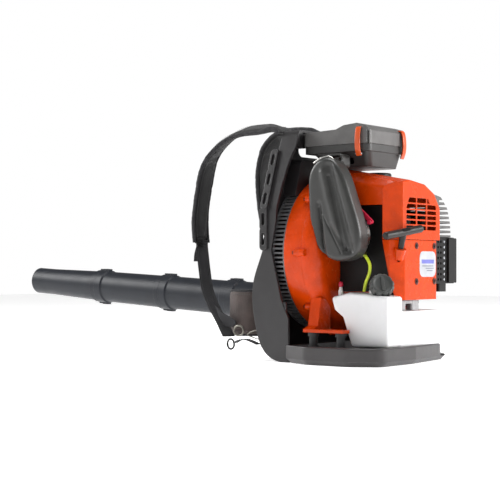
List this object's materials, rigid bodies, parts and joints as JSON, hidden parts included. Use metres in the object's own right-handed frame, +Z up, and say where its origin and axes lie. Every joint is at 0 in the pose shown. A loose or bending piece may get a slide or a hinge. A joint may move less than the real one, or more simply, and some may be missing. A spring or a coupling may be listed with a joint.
{
  "type": "backpack leaf blower",
  "caption": "Petrol backpack leaf blower: engine and fan unit on a padded carrying frame, with a jointed blow tube and throttle handle.",
  "frame": {"origin": "middle of the base plate's underside, on the floor", "axes": "+Z up, +Y the way the wearer faces and the blow tube points, +X the wearer's right, where the tube runs"},
  "size_m": [0.505, 1.4666, 0.5374],
  "materials": {
    "frame_plastic": "textured moulded",
    "foot_plastic": "textured moulded",
    "orange_plastic": "glossy",
    "black_plastic": "satin",
    "grey_plastic": "satin",
    "cage_plastic": "satin",
    "tube_plastic": "satin",
    "latch_plastic": "glossy",
    "tank_plastic": "translucent",
    "cap_plastic": "satin",
    "fan_plastic": "satin",
    "cast_alloy": "cast",
    "steel": "machined",
    "bright_steel": "plated",
    "muffler_steel": "heat-proof paint",
    "black_rubber": "matt",
    "fuel_hose": "satin",
    "red_plastic": "glossy",
    "rope": "braided",
    "filter_foam": "pleated paper",
    "pad_fabric": "woven",
    "lumbar_fabric": "mesh fabric",
    "webbing": "woven",
    "spring_steel": "tempered"
  },
  "bodies": {
    "blower": {"back_frame": "frame_plastic", "foot_plate": "foot_plastic", "volute_front": "orange_plastic", "volute_rear": "orange_plastic", "intake_cage": "cage_plastic", "crankcase_front": "cast_alloy", "crankcase_rear": "cast_alloy", "main_bearings": "steel", "cylinder": "cast_alloy", "piston": "cast_alloy", "connecting_rod": "steel", "spark_plug": "steel", "ignition_coil": "black_plastic", "engine_cover": "orange_plastic", "cover_cap": "black_plastic", "starter_housing": "orange_plastic", "housing_screws": "steel", "recoil_spring": "spring_steel", "starter_rope": "rope", "muffler": "muffler_steel", "muffler_guard": "black_plastic", "exhaust_grille": "grey_plastic", "side_shroud": "black_plastic", "carburettor": "cast_alloy", "intake_duct": "grey_plastic", "duct_clamp": "bright_steel", "filter_base": "grey_plastic", "filter_element": "filter_foam", "filter_cover": "grey_plastic", "fuel_tank": "tank_plastic", "fuel_line": "fuel_hose", "rubber_mounts": "black_rubber", "back_pad": "pad_fabric", "lumbar_pad": "lumbar_fabric", "shoulder_pad_left": "pad_fabric", "shoulder_pad_right": "pad_fabric", "webbing": "webbing", "harness_rings": "bright_steel"},
    "crank": {"crankshaft": "steel", "flywheel": "cast_alloy", "fan_wheel": "fan_plastic"},
    "pulley": {"starter_pulley": "black_plastic"},
    "starter_grip": {"starter_handle": "grey_plastic"},
    "cap": {"fuel_cap": "cap_plastic"},
    "choke": {"choke_lever": "red_plastic"},
    "latch_left": {"filter_latch_left": "latch_plastic"},
    "latch_right": {"filter_latch_right": "latch_plastic"},
    "elbow": {"tube_elbow": "tube_plastic", "flex_hose": "black_rubber", "hose_clamp_rear": "bright_steel"},
    "tube": {"control_tube": "tube_plastic", "tube_middle": "tube_plastic", "tube_front": "tube_plastic", "nozzle": "tube_plastic", "hose_clamp_front": "bright_steel"},
    "handle": {"handle_clamp": "black_plastic", "control_grip": "black_plastic"},
    "trigger": {"throttle_trigger": "latch_plastic"},
    "cruise": {"cruise_lever": "grey_plastic"},
    "stop": {"stop_switch": "red_plastic"}
  },
  "joints": [
    {"name": "crank_spin", "type": "hinge", "parent": "blower", "child": "crank", "pos_m": [0, 0, 0.235], "axis": [0, 1, 0], "continuous": true},
    {"name": "starter_pull", "type": "slide", "parent": "blower", "child": "starter_grip", "axis": [-0.2, -0.3, 0.9327], "range_m": [0, 0.7], "stiffness_N_per_m": 12, "springref_m": -0.3, "deforming": ["starter_rope"]},
    {"name": "pulley_spin", "type": "hinge", "parent": "blower", "child": "pulley", "pos_m": [0, -0.115, 0.235], "axis": [0, 1, 0], "range_deg": [0, 1700]},
    {"name": "cap_turn", "type": "hinge", "parent": "blower", "child": "cap", "pos_m": [-0.124, -0.118, 0.166], "axis": [-0.6, -0.64, 0.48], "range_deg": [0, 360]},
    {"name": "choke_turn", "type": "hinge", "parent": "blower", "child": "choke", "pos_m": [-0.12, -0.05, 0.338], "axis": [-1, 0, 0], "range_deg": [0, 35]},
    {"name": "latch_left_swing", "type": "hinge", "parent": "blower", "child": "latch_left", "pos_m": [-0.1022, -0.046, 0.447], "axis": [0, -1, 0], "range_deg": [0, 70]},
    {"name": "latch_right_swing", "type": "hinge", "parent": "blower", "child": "latch_right", "pos_m": [0.034, -0.0722, 0.447], "axis": [1, 0, 0], "range_deg": [0, 70]},
    {"name": "elbow_swivel", "type": "hinge", "parent": "blower", "child": "elbow", "pos_m": [0.185, 0.058, 0.095], "axis": [1, 0, 0], "range_deg": [-20, 40]},
    {"name": "hose_bend", "type": "hinge", "parent": "elbow", "child": "tube", "pos_m": [0.236, 0.23471, 0.1051], "axis": [0, -0.057, 0.9984], "range_deg": [-25, 8], "deforming": ["flex_hose"]},
    {"name": "handle_slide", "type": "slide", "parent": "tube", "child": "handle", "axis": [0, 0.9984, 0.057], "range_m": [-0.03, 0.06]},
    {"name": "trigger_pull", "type": "hinge", "parent": "handle", "child": "trigger", "pos_m": [0.236, 0.43436, 0.27476], "axis": [-1, 0, 0], "range_deg": [0, 14], "stiffness_Nm_per_rad": 0.4, "springref_deg": -17.19},
    {"name": "cruise_turn", "type": "hinge", "parent": "handle", "child": "cruise", "pos_m": [0.218, 0.41759, 0.28783], "axis": [1, 0, 0], "range_deg": [0, 60]},
    {"name": "stop_slide", "type": "slide", "parent": "handle", "child": "stop", "axis": [0, 0.9984, 0.057], "range_m": [0, 0.004]}
  ],
  "couplings": [
    {"joint": "pulley_spin", "follows": "starter_pull", "rad_per_m": 38.76}
  ]
}
